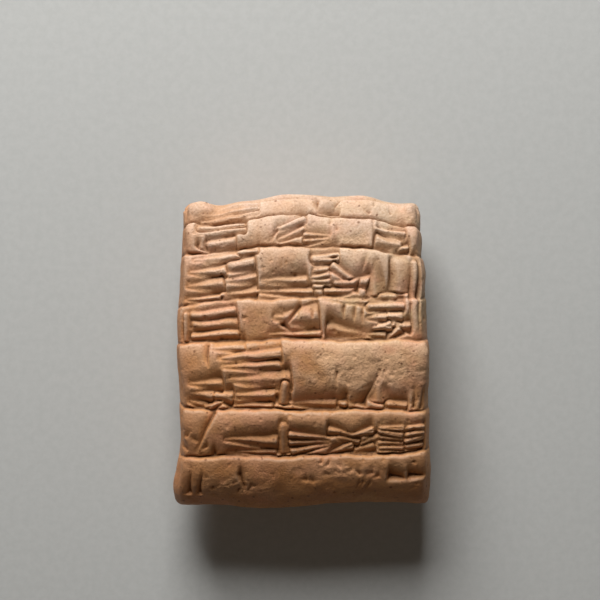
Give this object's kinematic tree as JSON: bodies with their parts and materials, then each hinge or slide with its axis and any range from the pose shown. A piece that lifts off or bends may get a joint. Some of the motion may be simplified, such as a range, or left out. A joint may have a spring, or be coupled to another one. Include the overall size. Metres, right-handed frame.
{
  "type": "cuneiform tablet",
  "caption": "Small pillow-shaped clay tablet with crowned faces, rounded edges and ruled rows of shallow wedge-shaped stylus strokes on its upper face.",
  "frame": {"origin": "on the resting surface, under the middle of the tablet's box", "axes": "+X to the right along the ruled rows, +Y towards the top row, +Z out of the written face, which lies upwards"},
  "size_m": [0.0368, 0.045, 0.016],
  "materials": {
    "clay": "matt, unglazed, fine-grained tan clay with brown recesses and pale worn crests"
  },
  "bodies": {
    "root": {"clay_tablet": "clay"}
  },
  "joints": []
}
